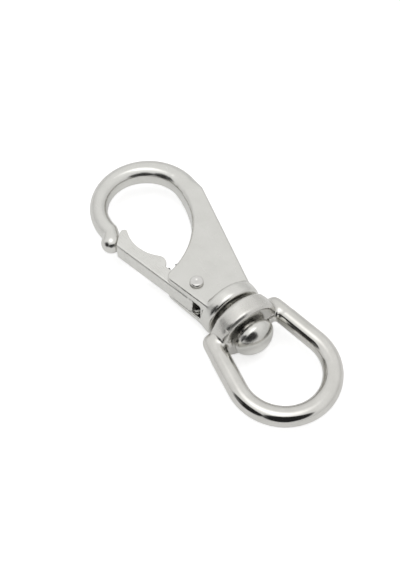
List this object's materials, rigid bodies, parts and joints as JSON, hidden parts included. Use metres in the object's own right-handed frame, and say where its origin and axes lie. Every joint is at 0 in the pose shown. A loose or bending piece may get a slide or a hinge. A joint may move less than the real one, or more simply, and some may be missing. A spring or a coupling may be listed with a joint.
{
  "type": "swivel snap hook",
  "caption": "Forged steel snap hook with a sprung folded gate, turning on a riveted shank in a round cast eye.",
  "frame": {"origin": "centre of the eye's round end, in the flat of the hook", "axes": "+Y along the swivel from the eye to the crown of the hook, +X towards the hook's plain back edge with the gate on -X, +Z square to the flat of the hook and up as it lies"},
  "size_m": [0.0322, 0.0892, 0.0172],
  "materials": {
    "hook_body": "satin",
    "swivel_eye": "polished",
    "gate": "satin",
    "gate_rivet": "satin",
    "gate_spring": "bright wire"
  },
  "bodies": {
    "hook": {"hook_body": "hook_body", "gate_rivet": "gate_rivet", "gate_spring": "gate_spring"},
    "eye": {"swivel_eye": "swivel_eye"},
    "gate": {"gate": "gate"}
  },
  "joints": [
    {"name": "swivel", "type": "hinge", "parent": "hook", "child": "eye", "pos_m": [0, 0.0155, 0], "axis": [0, 1, 0], "continuous": true},
    {"name": "gate_hinge", "type": "hinge", "parent": "hook", "child": "gate", "pos_m": [-0.0042, 0.0294, 0], "axis": [0, 0, 1], "range_deg": [-28, 0], "stiffness_Nm_per_rad": 0.02, "springref_deg": 28.65, "deforming": ["gate_spring"]}
  ]
}
